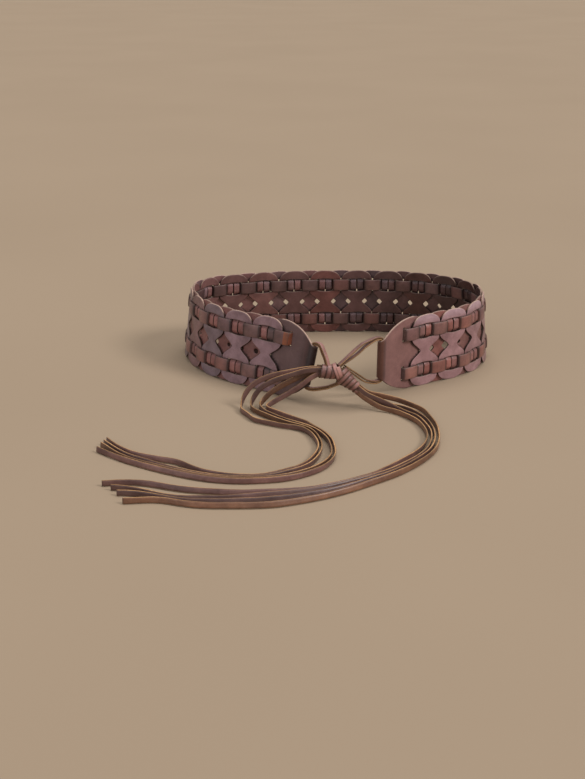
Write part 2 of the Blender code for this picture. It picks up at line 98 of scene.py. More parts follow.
def add_camera():
    data = bpy.data.cameras.new("camera")
    data.sensor_fit = "VERTICAL"
    data.sensor_height = SENSOR_HEIGHT
    data.lens = SENSOR_HEIGHT * FOCAL_PIXELS / FRAME_HEIGHT
    data.clip_end = 20.0
    bpy.context.scene.camera = aimed("camera", data, CAMERA_PLACE, CAMERA_TARGET)


def add_lights():
    for name, place, strength, angle, colour in SUNS:
        data = bpy.data.lights.new(name, "SUN")
        data.energy = strength
        data.angle = math.radians(angle)
        data.color = colour
        aimed(name, data, place, (0.0, 0.0, 0.0))
    world = bpy.data.worlds.new("soft room")
    world.use_nodes = True
    shade = world.node_tree.nodes["Background"]
    shade.inputs["Color"].default_value = ROOM_COLOUR
    shade.inputs["Strength"].default_value = ROOM_STRENGTH
    bpy.context.scene.world = world
    bpy.context.scene.view_settings.view_transform = "Standard"


add_camera()
add_lights()


# Node helpers
class Nodes:
    """Short names for the nodes that one material is made of."""

    def __init__(self, name):
        self.material = bpy.data.materials.new(name)
        self.material.use_nodes = True
        self.tree = self.material.node_tree
        self.place = self.add("ShaderNodeTexCoord").outputs["Object"]

    def put(self, socket, value):
        if isinstance(value, bpy.types.NodeSocket):
            self.tree.links.new(value, socket)
        elif value is not None:
            socket.default_value = value

    def add(self, kind, inputs=(), **settings):
        node = self.tree.nodes.new(kind)
        for key, value in settings.items():
            setattr(node, key, value)
        for key, value in dict(inputs).items():
            self.put(node.inputs[key], value)
        return node

    def noise(self, scale, detail=3.0, rough=0.5, place=None):
        inputs = {"Vector": place or self.place, "Scale": scale, "Detail": detail, "Roughness": rough}
        return self.add("ShaderNodeTexNoise", inputs).outputs["Fac"]

    def ramp(self, fac, low, high, dark=0.0):
        """Grey that goes from dark at low to white at high."""
        made = self.add("ShaderNodeValToRGB", {"Fac": fac})
        for point, at, level in zip(made.color_ramp.elements, (low, high), (dark, 1.0)):
            point.position = at
            point.color = (level, level, level, 1.0)
        return made.outputs["Color"]

    def mix(self, fac, a, b, blend="MIX"):
        a, b = ((*value, 1.0) if isinstance(value, tuple) else value for value in (a, b))
        made = self.add("ShaderNodeMix", {"Factor": fac, "A": a, "B": b}, data_type="RGBA", blend_type=blend)
        return made.outputs["Result"]

    def times(self, a, b):
        return self.add("ShaderNodeMath", {0: a, 1: b}, operation="MULTIPLY").outputs[0]

    def attribute(self, name, output="Fac"):
        return self.add("ShaderNodeAttribute", attribute_name=name).outputs[output]

    def bump(self, height, distance, strength, normal=None):
        inputs = {"Height": height, "Distance": distance, "Strength": strength, "Normal": normal}
        return self.add("ShaderNodeBump", inputs).outputs["Normal"]

    def surface(self, inputs):
        """Sets the shader's own inputs and gives the material."""
        shader = self.tree.nodes["Principled BSDF"]
        for name, value in inputs.items():
            self.put(shader.inputs[name], value)
        return self.material


WORN_COLOUR = (0.42, 0.3, 0.26)
# Painted shadow colour for cut edges and pits
PAINTED_SHADOW_COLOUR = (0.03, 0.013, 0.009)


def leather(name, dark, light, rough=(0.42, 0.62), grain=0.55, wear=0.45):
    """Waxed leather: blotchy colour, times each vertex's colour attribute, which holds the piece's own tone and its
    painted light and shade, fine pores and creases, and paler rubbed edges where the rim attribute is high.
    """
    n = Nodes(name)
    base = n.mix(n.ramp(n.noise(60.0, 4.0, 0.6), 0.3, 0.72), dark, light)
    # Each vertex's colour attribute: the piece's tone together with painted light and shade
    base = n.mix(1.0, base, n.attribute("colour_and_painted_light", "Color"), "MULTIPLY")
    base = n.mix(0.35, base, n.ramp(n.noise(900.0, 3.0, 0.65), 0.25, 0.75, 0.4), "MULTIPLY")
    scuffs = n.ramp(n.noise(240.0, 5.0, 0.7), 0.6, 0.78)
    base = n.mix(n.times(scuffs, 0.12), base, WORN_COLOUR)
    patches = n.ramp(n.noise(160.0, 3.0, 0.6), 0.32, 0.62, 0.35)
    base = n.mix(n.times(n.times(n.attribute("rim"), patches), wear), base, WORN_COLOUR)
    low, high = rough
    gloss = n.add("ShaderNodeMapRange", {"Value": n.noise(320.0, 3.0, 0.6), "To Min": low, "To Max": high})
    cells = {"Vector": n.place, "Scale": 1250.0, "Randomness": 1.0}
    pores = n.add("ShaderNodeTexVoronoi", cells, feature="DISTANCE_TO_EDGE").outputs["Distance"]
    normal = n.bump(n.ramp(pores, 0.0, 0.16), 0.0001, grain)
    normal = n.bump(n.noise(420.0, 4.0, 0.6), 0.00035, 0.35, normal)
    normal = n.bump(n.noise(95.0, 3.0, 0.5), 0.0012, 0.25, normal)
    return n.surface({
        "Base Color": base, "Roughness": gloss.outputs["Result"], "Normal": normal,
        "Specular IOR Level": 0.45, "Coat Weight": 0.22, "Coat Roughness": 0.28,
    })


def cut_edge(name, dark, light):
    """The fibrous cut side of the leather, in painted shadow where the rim attribute is low."""
    n = Nodes(name)
    drawn_out = n.add("ShaderNodeVectorMath", {0: n.place, 1: (700.0, 700.0, 1700.0)}, operation="MULTIPLY")
    fibres = n.noise(1.0, 4.0, 0.7, drawn_out.outputs[0])
    base = n.mix(n.ramp(fibres, 0.3, 0.68), dark, light)
    return n.surface({
        "Base Color": n.mix(n.attribute("rim"), PAINTED_SHADOW_COLOUR, base), "Normal": n.bump(fibres, 0.00025, 0.6),
        "Roughness": 0.85, "Specular IOR Level": 0.3,
    })


SMOOTH = (0.3, 0.52)
OUTER = leather("outer leather", (0.138, 0.08, 0.086), (0.29, 0.184, 0.198), (0.32, 0.52))
INNER = leather("inner leather", (0.108, 0.046, 0.042), (0.218, 0.103, 0.094), (0.38, 0.58))
STRAP = leather("strap leather", (0.116, 0.061, 0.06), (0.232, 0.126, 0.12), SMOOTH)
TAB = leather("tab leather", (0.136, 0.076, 0.074), (0.214, 0.126, 0.122), grain=0.4)
LACE_SKIN = leather("lace leather", (0.108, 0.047, 0.04), (0.24, 0.118, 0.098), SMOOTH, 0.4, 0.4)
CUT = cut_edge("cut edge", (0.22, 0.115, 0.08), (0.56, 0.4, 0.32))
LACE_CUT = cut_edge("lace edge", (0.34, 0.165, 0.062), (0.72, 0.42, 0.2))


# The wall that every layer follows
def smooth_curve(knots, samples):
    """Points of the natural cubic spline through the knots."""
    knots = np.array(knots, float)
    steps = np.linalg.norm(np.diff(knots, axis=0), axis=1)
    reach = np.concatenate(([0.0], np.cumsum(steps)))
    system = np.eye(len(knots))
    right = np.zeros_like(knots)
    for i in range(1, len(knots) - 1):
        system[i, i - 1 : i + 2] = steps[i - 1], 2 * (steps[i - 1] + steps[i]), steps[i]
        right[i] = 6 * ((knots[i + 1] - knots[i]) / steps[i] - (knots[i] - knots[i - 1]) / steps[i - 1])
    bend = np.linalg.solve(system, right)
    at = np.linspace(0.0, reach[-1], samples)
    i = np.clip(np.searchsorted(reach, at, side="right") - 1, 0, len(steps) - 1)
    step = steps[i][:, None]
    after = (at - reach[i])[:, None] / step
    before = 1 - after
    curved = (before**3 - before) * bend[i] + (after**3 - after) * bend[i + 1]
    return before * knots[i] + after * knots[i + 1] + curved * step**2 / 6


def lengths_along(points):
    steps = np.linalg.norm(np.diff(points, axis=0), axis=1)
    return np.concatenate(([0.0], np.cumsum(steps)))


def at_lengths(at, reach, points):
    """Points at the lengths at of a line through points, which are reach along it."""
    return np.stack([np.interp(at, reach, column) for column in points.T], axis=1)


def unit(rows):
    return rows / np.linalg.norm(rows, axis=1)[:, None]


WALL_SAMPLES = 1800


class Wall:
    """Places points given by their run along the belt, depth outwards and height."""

    def __init__(self):
        half = np.array([LOOP_WIDTH / 2, LOOP_DEPTH / 2])
        places = np.array(PLAN)[:, :2] * half
        drawn = smooth_curve(places, WALL_SAMPLES)
        reach = lengths_along(drawn)
        self.pitch = (reach[-1] - 2 * TAB_LENGTH) / LINK_COUNT
        self.length = self.pitch * LINK_COUNT
        self.runs = reach - TAB_LENGTH
        self.line = drawn
        along = unit(np.gradient(drawn, self.runs, axis=0))
        self.out = np.stack([-along[:, 1], along[:, 0]], axis=1)
        rows = lengths_along(places)
        leans = np.interp(reach / reach[-1], rows / rows[-1], np.array(PLAN)[:, 2])
        self.leans = np.tan(np.radians(leans))

    def place(self, run, depth, height):
        reach = (depth - height * np.interp(run, self.runs, self.leans))[:, None]
        out = at_lengths(run, self.runs, self.out)
        return np.column_stack([at_lengths(run, self.runs, self.line) + out * reach + BELT_SHIFT, height])


# Room for a strap above and below it, and beside its turns
STRAP_SLACK = 0.0004
WINDOW_SLACK = 0.0015
WALL = Wall()
PITCH = WALL.pitch
QUARTER = PITCH / 4
HALF = (PITCH - LINK_GAP) / 2
WINDOW = QUARTER + WINDOW_SLACK
HIGH = STRAP_RISE + STRAP_WIDTH / 2 + STRAP_SLACK
LOW = STRAP_RISE - STRAP_WIDTH / 2 - STRAP_SLACK
TOP = BELT_HEIGHT / 2
LAYER_DEPTH = (LAYER_GAP + LEATHER) / 2
FOLD_RADIUS = 0.0036
FOLD_START = 0.0353


def smooth_step(low, high, values):
    share = np.clip((values - low) / (high - low), 0.0, 1.0)
    return share * share * (3 - 2 * share)


def dimmed(lost, low, high, values):
    """The light that is left, which lacks lost where the values are at low and nothing where they are at high."""
    return 1 - lost * (1 - smooth_step(low, high, values))


def in_row(up, edge, full):
    """1 in the height of a strap's windows, rising between edge and full inside them."""
    return smooth_step(LOW + edge, LOW + full, up) * smooth_step(HIGH - edge, HIGH - full, up)


# Flat patterns
def rounded(corners, step=0.0009):
    """A closed outline through (along, up, radius) corners, with a point about every step."""
    count = len(corners)
    path = []
    for i in range(count):
        before, here, after = (np.array(corners[(i + k) % count][:2], float) for k in (-1, 0, 1))
        reach = corners[i][2]
        to_before, to_after = before - here, after - here
        start = here + to_before * min(reach / np.linalg.norm(to_before), 0.49)
        end = here + to_after * min(reach / np.linalg.norm(to_after), 0.49)
        for t in np.linspace(0.0, 1.0, 7):
            path.append((1 - t) ** 2 * start + 2 * t * (1 - t) * here + t * t * end)
    path = np.array(path + path[:1])
    reach = lengths_along(path)
    total = max(int(round(reach[-1] / step)), 8)
    even = np.linspace(0.0, reach[-1], total + 1)[:-1]
    return at_lengths(even, reach, path)


def inside(points, loop):
    """Whether each point is inside the closed outline."""
    x, y = points.T[:, :, None]
    ax, ay = loop.T
    bx, by = np.roll(ax, -1), np.roll(ay, -1)
    crosses = (ay > y) != (by > y)
    at = ax + (y - ay) * (bx - ax) / np.where(by == ay, 1e-12, by - ay)
    return (crosses & (x < at)).sum(axis=1) % 2 == 1


def distances(points, loops):
    found = np.full(len(points), 1e9)
    for loop in loops:
        a, b = loop, np.roll(loop, -1, axis=0)
        way = b - a
        t = ((points[:, None] - a) * way).sum(axis=2) / np.maximum((way**2).sum(axis=1), 1e-15)
        near = a + np.clip(t, 0, 1)[..., None] * way
        found = np.minimum(found, np.linalg.norm(points[:, None] - near, axis=2).min(axis=1))
    return found


RINGS = (0.00018, 0.0005, 0.0012)
ROUNDING = 0.00055
GRID_STEP = 0.0021
PIT_SLOPE = 0.0003
PIT_MARGIN = 0.0008
CUT_BAND = 0.0003


def pattern(outline, holes=(), pits=()):
    """Triangles of a flat leather pattern, with rings of points along its edges and round its pits.

    Gives its points, its faces and how far each point is from an edge.
    """
    loops = [outline, *holes]

    def is_leather(spots):
        found = inside(spots, outline)
        for hole in holes:
            found &= ~inside(spots, hole)
        return found

    extra = []
    for loop in loops:
        way = np.roll(loop, -1, axis=0) - np.roll(loop, 1, axis=0)
        side = np.stack([-way[:, 1], way[:, 0]], axis=1) / np.linalg.norm(way, axis=1)[:, None]
        if not is_leather(loop[:1] + side[:1] * 1e-5)[0]:
            side = -side
        for number, ring in enumerate(RINGS):
            moved = (loop + side * ring)[:: 1 if number < 2 else 2]
            extra.append(moved[distances(moved, loops) > ring * 0.93])
    spans = [np.arange(low, high, GRID_STEP) for low, high in zip(outline.min(axis=0), outline.max(axis=0))]
    grid = np.stack(np.meshgrid(*spans, indexing="ij"), axis=-1).reshape(-1, 2)
    for centre, radius in pits:
        grid = grid[np.hypot(grid[:, 0] - centre, grid[:, 1]) > radius + PIT_MARGIN]
        for ring in (0.0, radius - PIT_SLOPE, radius, radius + PIT_SLOPE):
            angles = np.linspace(0.0, 2 * math.pi, 25 if ring else 2)[:-1]
            extra.append(np.stack([centre + ring * np.cos(angles), ring * np.sin(angles)], axis=1))
    extra.append(grid[distances(grid, loops) > GRID_STEP])
    extra = np.concatenate(extra)
    points = np.concatenate([*loops, extra[is_leather(extra)]])
    edges, start = [], 0
    for loop in loops:
        edges += [(start + i, start + (i + 1) % len(loop)) for i in range(len(loop))]
        start += len(loop)
    out = delaunay_2d_cdt([Vector(p) for p in points], edges, [], 0, 1e-7)
    verts = np.array([tuple(p) for p in out[0]])
    faces = np.array([face for face in out[2]])
    faces = faces[is_leather(verts[faces].mean(axis=1))]
    a, b, c = (verts[faces[:, k]] for k in range(3))
    turned = (b[:, 0] - a[:, 0]) * (c[:, 1] - a[:, 1]) - (b[:, 1] - a[:, 1]) * (c[:, 0] - a[:, 0]) < 0
    faces[turned] = faces[turned][:, ::-1]
    return verts, faces, distances(verts, loops)


def add_mesh(name, verts, faces, materials, slots=None):
    mesh = bpy.data.meshes.new(name)
    mesh.from_pydata([tuple(v) for v in verts], [], [tuple(int(i) for i in f) for f in faces])
    for material in materials:
        mesh.materials.append(material)
    if slots is not None:
        mesh.polygons.foreach_set("material_index", np.asarray(slots, np.int32))
    mesh.shade_smooth()
    made = bpy.data.objects.new(name, mesh)
    bpy.context.scene.collection.objects.link(made)
    return made


def paint(made, name, values):
    """Keeps a number or a colour for each vertex."""
    values = np.asarray(values, np.float32)
    if values.ndim == 1:
        layer = made.data.attributes.new(name, "FLOAT", "POINT")
        layer.data.foreach_set("value", values)
    else:
        layer = made.data.attributes.new(name, "FLOAT_COLOR", "POINT")
        full = np.concatenate([values, np.ones((len(values), 1), np.float32)], axis=1)
        layer.data.foreach_set("color", full.ravel())


def add_sheet(name, flat, place, colour_and_painted_light, wear_and_edge_light, materials, pits=()):
    """A leather sheet cut from a flat pattern, with rounded edges. place(points, level) puts it in space."""
    points, faces, far = flat
    lost = 1 - np.sqrt(np.clip(1 - (1 - np.clip(far / ROUNDING, 0, 1)) ** 2, 0, 1))
    level = LEATHER / 2 - ROUNDING * 0.85 * lost
    count = len(points)
    verts = np.concatenate([place(points, level), place(points, -level)])
    rim_edges = {}
    for face in faces:
        for a, b in zip(face, np.roll(face, -1)):
            key = (min(a, b), max(a, b))
            rim_edges[key] = None if key in rim_edges else (a, b)
    walls = [(b, a, a + count, b + count) for a, b in filter(None, rim_edges.values())]
    cut = (far[faces] < CUT_BAND).all(axis=1).astype(int)
    backs = faces[:, ::-1] + count
    # Faces in the pits take the cut-edge material, so they are painted in shadow
    sunk = np.maximum(cut, open_at(points[faces].mean(axis=1), pits) < 0.6)
    made = add_mesh(name, verts, [*faces, *backs, *walls], materials, [*sunk, *cut, *([1] * len(walls))])
    # rim: paler wear on the faces near the edges; on the cut edges, lit colour where high and painted shadow where
    # low
    rim = (1 - smooth_step(0.0002, 0.0013, far)) * wear_and_edge_light(points)
    paint(made, "rim", np.concatenate([rim, rim]))
    # Colour of both faces, with their painted light and shade
    paint(made, "colour_and_painted_light", np.concatenate([colour_and_painted_light(points, far, 1), colour_and_painted_light(points, far, -1)]))
    return made


def whole_side(upper):
    """All corners of a side from the upper ones."""
    return upper + [(a, -u, r) for a, u, r in reversed(upper)]


def link_quarter(waist):
    """The upper right quarter of a link whose middle is twice waist wide."""
    return [
        (0.0035, TOP, 0.004), (0.0078, TOP - 0.0006, 0.004), (0.0128, TOP - 0.0026, 0.004),
        (0.0162, TOP - 0.0062, 0.003), (HALF, HIGH + 0.0004, 0.0012), (HALF, LOW - 0.0016, 0.0012),
        (0.0165, 0.0098, 0.0018), (0.0136, 0.007, 0.002), (min(waist + 0.0036, 0.014), 0.0038, 0.002),
        (min(waist + 0.0014, 0.0133), 0.0019, 0.001), (waist, 0.0001, 0.001),
    ]


WINDOW_CORNERS = [
    (-WINDOW, LOW, 0.001), (0.0, LOW - 0.0014, 0.008), (WINDOW, LOW, 0.001),
    (WINDOW, HIGH, 0.001), (0.0, HIGH + 0.001, 0.008), (-WINDOW, HIGH, 0.001),
]


def link_pattern(waist, pits=()):
    upper = rounded(WINDOW_CORNERS)
    lower = rounded([(a, -u, r) for a, u, r in WINDOW_CORNERS])
    right = whole_side(link_quarter(waist))
    return pattern(rounded(right + [(-a, u, r) for a, u, r in reversed(right)]), (upper, lower), pits)


def open_at(points, pits):
    """0 in the blind holes punched in a link and 1 elsewhere."""
    found = np.ones(len(points))
    for centre, radius in pits:
        away = np.hypot(points[:, 0] - centre, points[:, 1])
        found = np.minimum(found, smooth_step(radius - PIT_SLOPE, radius + PIT_SLOPE, away))
    return found


def bars_in(points):
    """1 on the narrow bars that the straps press towards the middle of the weave, 0 on the flat parts."""
    along, up = np.abs(points).T
    return smooth_step(0.0065, 0.0105, along) * in_row(up, 0.0002, 0.003)


def cover_edge(up):
    """How far from its own middle a link reaches at each height, for the shadow it throws on the other layer."""
    reaches, heights, _ = np.array(link_quarter(0.0058)[::-1]).T
    return np.interp(up, heights, reaches)


OUTER_WAIST = 0.0056
INNER_WAIST = 0.0064
# Half width of the middle and the blind holes (along, radius) of the inner links that differ at the front
SPECIAL_LINKS = {
    0: (0.014, ((-0.0056, 0.0025), (0.0122, 0.0023))), 1: (0.009, ((-0.0062, 0.002),)),
    17: (0.009, ((0.0072, 0.0017),)), 18: (0.005, ()),
}
LINK_HUES = (
    (1.0, 1.0, 1.0), (0.92, 0.97, 1.02), (1.14, 0.96, 0.9), (0.8, 0.84, 0.88), (1.18, 1.02, 0.98),
    (1.04, 0.86, 0.82), (0.88, 0.94, 1.0),
)
BAR_CENTRE = 0.014
BAR_HALF_WIDTH = 0.0037
PIT_DEPTH = 0.0011
CORNERS = ((1, 1), (-1, 1), (1, -1), (-1, -1))


def add_link(outer, number, plain):
    """One link. plain has the patterns of the links without a width or holes of their own."""
    chance = np.random.default_rng(100 * outer + number)
    centre = (number + (0.5 if outer else 1.0)) * PITCH
    name = f"{'outer' if outer else 'inner'}_link_{number + 1:02d}"
    sign = 1 if outer else -1
    waist, pits = (OUTER_WAIST, ()) if outer else SPECIAL_LINKS.get(number, (INNER_WAIST, ()))
    flat = plain[waist] if waist in plain else link_pattern(waist, pits)
    turn = math.radians(chance.uniform(-0.9, 0.9))
    curls = chance.uniform(0.0002, 0.0012, 4)
    wave = chance.uniform(-1, 1, 4)
    tone_and_painted_light = np.array(LINK_HUES[int(chance.integers(len(LINK_HUES)))]) * chance.uniform(0.86, 1.14)
    share = number / (LINK_COUNT if outer else LINK_COUNT - 1)
    front = smooth_step(0.74, 0.84, share)
    # The outer links are much lighter at the right front, as painted light where the key light falls, and greyer and
    # bluer at the left front; the inner links at the right front are a quarter lighter, also as painted light
    if outer:
        tone_and_painted_light = tone_and_painted_light * (1 - front) + np.array([1.62, 1.42, 1.38]) * chance.uniform(0.92, 1.08) * front
        tone_and_painted_light = tone_and_painted_light * (1 + smooth_step(0.16, 0.06, share) * np.array([0.2, 0.36, 0.5]))
    elif number < 3:
        tone_and_painted_light = np.array([1.26, 1.1, 1.1]) * chance.uniform(0.92, 1.08)
    else:
        tone_and_painted_light = tone_and_painted_light * np.array([1.0, 0.95, 0.94]) * (1 + 0.25 * front)

    def place(points, level):
        x, y = points.T
        along = x * math.cos(turn) - y * math.sin(turn)
        up = x * math.sin(turn) + y * math.cos(turn)
        along = along + 0.00018 * wave[0] * np.sin(up * 260 + wave[1] * 3)
        up = up + 0.0002 * wave[2] * np.sin(along * 240 + wave[3] * 3)
        lift = np.zeros(len(points))
        for curl, (side, rise) in zip(curls, CORNERS):
            lift += curl * (smooth_step(0.008, 0.0185, side * x) * smooth_step(0.024, 0.036, rise * y))
            horn = smooth_step(0.01, 0.0178, side * x) * smooth_step(0.0145, 0.01, rise * y)
            lift += 0.5 * curl * horn * smooth_step(0.004, 0.01, rise * y)
        swell = 1 - ((np.abs(x) - BAR_CENTRE) / BAR_HALF_WIDTH) ** 2
        bulge = 0.0006 + 0.0006 * np.clip(swell, -0.8, 1)
        depth = sign * (LAYER_DEPTH + lift - (LAYER_DEPTH + bulge) * bars_in(points))
        depth = depth - PIT_DEPTH * (1 - open_at(points, pits)) * (level > 0)
        height = np.clip(BELT_HEIGHT / 2 + up, 0.0, BELT_HEIGHT)
        return WALL.place(centre + along, depth + level, height)

    def colour_and_painted_light(points, far, side):
        along, up = np.abs(points).T
        bars = bars_in(points)
        colour = tone_and_painted_light
        # Painted shade: the blind holes are dark on the outward face
        shade = 1 - 0.93 * (1 - open_at(points, pits)) * (side > 0)
        if side != sign:
            # The face towards the other layer, lightened overall: painted shadow where the other layer covers this
            # link, painted shade in the gaps beside the straps and along the windows' top and bottom, and painted
            # light on the raised bars
            covered = PITCH / 2 - cover_edge(up) - along
            flat = (1 - np.maximum(bars, in_row(up, -0.0003, 0.0006) * (along > 0.0095))) * (up < 0.03)
            shade *= 1.22 * dimmed(0.85 * flat, -0.0002, 0.0013, covered)
            ends = smooth_step(0.0118, 0.0102, along) + smooth_step(0.017, 0.01775, along)
            shade *= 1 - 0.38 * bars * np.clip(ends, 0, 1)
            shade *= 1 + (0.3 if side > 0 else 0.05) * bars
            shade *= dimmed(0.2 * bars, 0.0002, 0.0012, np.minimum(np.abs(up - HIGH), np.abs(up - LOW)))
        else:
            # Painted shade round the windows' edges on the outward face
            window = (up > LOW - 0.003) & (up < HIGH + 0.003) & (along < WINDOW + 0.001)
            shade *= np.where(window, dimmed(0.15, 0.0002, 0.0009, far), 1.0)
        # Painted shade on the inward faces: the outer links' faces are darker and warmer, and all of them are
        # lighter on the left of the loop, where the key light falls, and darker towards the right
        if side < 0 and outer:
            shade *= 0.6
            colour = tone_and_painted_light * np.array([1.06, 0.94, 0.9])
        if side < 0:
            shade *= 1.54 - 1.18 * smooth_step(0.25, 0.8, share)
        # Painted sheen: paler and bluer along the tops of the outer links at the right front
        painted_sheen = smooth_step(0.024, 0.036, points[:, 1]) * front * outer * (side > 0)
        return shade[:, None] * colour * (1 + painted_sheen[:, None] * np.array([0.3, 0.55, 0.68]))

    def wear_and_edge_light(points):
        # High on the top edges, for paler wear and lit cut edges there; low elsewhere, which paints the cut edges in
        # shadow, a little less along the windows' top and bottom
        along, up = np.abs(points).T
        level_edge = np.minimum(np.abs(up - LOW + 0.0007), np.abs(up - HIGH - 0.0005)) < 0.0012
        top = smooth_step(0.029, 0.0345, points[:, 1])
        return (0.85 if outer else 0.5) * top + 0.1 + 0.28 * (level_edge & (along < WINDOW - 0.0009))

    made = add_sheet(name + "_leather", flat, place, colour_and_painted_light, wear_and_edge_light, (OUTER if outer else INNER, CUT), pits)
    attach(made, "root")
    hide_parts(name)


def add_links():
    plain = {waist: link_pattern(waist) for waist in (OUTER_WAIST, INNER_WAIST)}
    for number in range(LINK_COUNT):
        add_link(True, number, plain)
    for number in range(LINK_COUNT - 1):
        add_link(False, number, plain)


def strap_levels(run, skew):
    """Depth of the middle of the weave for one face of the strap, whose turns are shifted by skew."""
    phase = (run / PITCH) % 1.0
    way = np.minimum(phase, 1.0 - phase) * PITCH
    return 1 - 2 * smooth_step(QUARTER + skew - 0.0008, QUARTER + skew + 0.0008, way)


STRAP_HUES = ((1.0, 0.98, 0.98), (1.1, 0.98, 0.92), (0.84, 0.82, 0.88), (1.2, 0.96, 0.88), (0.92, 0.86, 0.84))
# Places across half the strap, as shares of its half width, and what is lost there of its half thickness
STRAP_EDGE = ((0.2, 0.0), (0.55, 0.0), (0.85, 0.0), (0.94, 0.06), (0.985, 0.22), (1.0, 0.55))
STRAP_ROWS = [(-share, trim) for share, trim in STRAP_EDGE[::-1]] + [*STRAP_EDGE]
WEAVE_DEPTH = 0.002
# Depth and length of the ends, which are tucked behind the tabs
TUCKED_DEPTH = -0.00295
TUCKED_LENGTH = 0.0118
# Rows of points on both sides of each turn, and on the way to the next one
TURN_STEPS = (0.0, 0.0003, 0.0007, 0.0011, 0.0015, 0.0019, 0.0046)
FLAT_STEPS = (0.0072, 0.009, 0.0108)


def quads(a, b, total):
    """Faces between row a and row b of points, each of which has total points."""
    return [(a * total + i, a * total + i + 1, b * total + i + 1, b * total + i) for i in range(total - 1)]


def add_strap(name, height, seed):
    chance = np.random.default_rng(seed)
    half = LEATHER / 2
    first, last = -QUARTER - TUCKED_LENGTH, WALL.length + QUARTER + TUCKED_LENGTH
    runs = [first, -0.0034, -0.003]
    for k in range(-1, 2 * LINK_COUNT + 1):
        turn = (2 * k + 1) * QUARTER
        runs += [turn + step for step in (*TURN_STEPS, *FLAT_STEPS)] + [turn - step for step in TURN_STEPS]
    runs += [(k / 2) * PITCH + step for k in range(-1, 2 * LINK_COUNT + 2) for step in (-0.0036, 0.0, 0.0036)]
    runs = np.array(sorted(run for run in set(runs) if first <= run <= last) + [last])
    tilt = 0.00018 * np.sin(runs * 61.0 + seed)
    wave = 0.00012 * np.sin(runs * 140.0 + seed)
    cells = np.floor(runs / (PITCH / 2) + 0.5).astype(int)
    cells -= cells.min()
    table = np.array([STRAP_HUES[int(chance.integers(len(STRAP_HUES)))] for _ in range(cells.max() + 1)])
    table = table * chance.uniform(0.9, 1.12, (len(table), 1))
    flesh = (runs > -0.01) & (runs < -0.0032) & (name == "upper_strap")
    tint = np.where(flesh[:, None], np.array([1.95, 1.08, 0.45]), 1.0)
    warm = 1 + smooth_step(0.72, 0.84, runs / WALL.length)[:, None] * np.array([0.16, 0.04, -0.04])
    to_turn = np.abs((runs / PITCH) % 0.5 - 0.25) * PITCH
    # Painted shade where the strap dips through the windows, weaker at the tucked ends, and a softer painted shade
    # towards the ends of each raised stretch
    ends = np.where((runs < -0.006) | (runs > WALL.length + 0.006), 0.45, 0.7)
    dip_shade = dimmed(ends, 0.0002, 0.0014, to_turn)
    end_shade = dimmed(0.24, 0.001, 0.006, to_turn)
    to_middle = np.abs((runs / PITCH + 0.25) % 0.5 - 0.25) * PITCH
    swell = 1 - (to_middle / QUARTER) ** 2
    narrow = 1 - 0.05 * smooth_step(0.0072, 0.0088, to_middle)
    tucked = (runs < -QUARTER - 0.0006) | (runs > WALL.length + QUARTER + 0.0006)
    verts, rim, colour_and_painted_light = [], [], []
    # The outer face is lighter and the inner face darker, as painted light and shade
    for offset, face in ((half, 1.3), (-half, 0.98)):
        level = np.where(tucked, TUCKED_DEPTH, WEAVE_DEPTH * strap_levels(runs, offset))
        for share, trim in STRAP_ROWS:
            crown = (0.0004 * (1 - share * share) + 0.001 * swell) * level / WEAVE_DEPTH
            depth = level + crown + tilt * share + np.sign(offset) * (half - trim * half)
            verts.append(WALL.place(runs, depth, height + wave + share * narrow * STRAP_WIDTH / 2))
            to_edge = (1 - abs(share)) * STRAP_WIDTH / 2
            # Rim kept low, so the cut edges are mostly painted shadow
            rim.append(np.full(len(runs), 0.22 * (1 - smooth_step(0.0002, 0.0012, to_edge))))
            # Painted shade along the strap's rounded edges
            side = 1 - 0.35 * smooth_step(0.9, 1.0, abs(share))
            colour_and_painted_light.append(table[cells] * tint * warm * (dip_shade * side * end_shade * face)[:, None])
    columns, total = len(STRAP_ROWS), len(runs)
    faces, slots = [], []
    ring = [*range(columns), *range(2 * columns - 1, columns - 1, -1)]
    for a, b in zip(ring, ring[1:] + ring[:1]):
        edge = {a % columns, b % columns}
        cut = edge <= {0, 1} or edge <= {columns - 1, columns - 2}
        faces += quads(a, b, total)
        slots += [int(cut)] * (total - 1)
    for end in (0, total - 1):
        for k in range(columns - 1):
            quad = [row * total + end for row in (k, k + 1, columns + k + 1, columns + k)]
            faces.append(tuple(quad if end == 0 else reversed(quad)))
            slots.append(1)
    made = add_mesh(name + "_leather", np.concatenate(verts), faces, (STRAP, CUT), slots)
    paint(made, "rim", np.concatenate(rim))
    paint(made, "colour_and_painted_light", np.concatenate(colour_and_painted_light))
    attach(made, "root")
    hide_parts(name)


def tab_edge(way):
    shares = np.array([0.0, 0.12, 0.28, 0.44, 0.6, 0.74, 0.86, 0.95, 1.0])
    drops = np.array([0.0, 0.02, 0.09, 0.2, 0.35, 0.52, 0.7, 0.86, 0.95])
    return TOP - np.interp(way / (FOLD_START + FOLD_RADIUS), shares, drops) * (TOP - TAB_END_HEIGHT / 2)


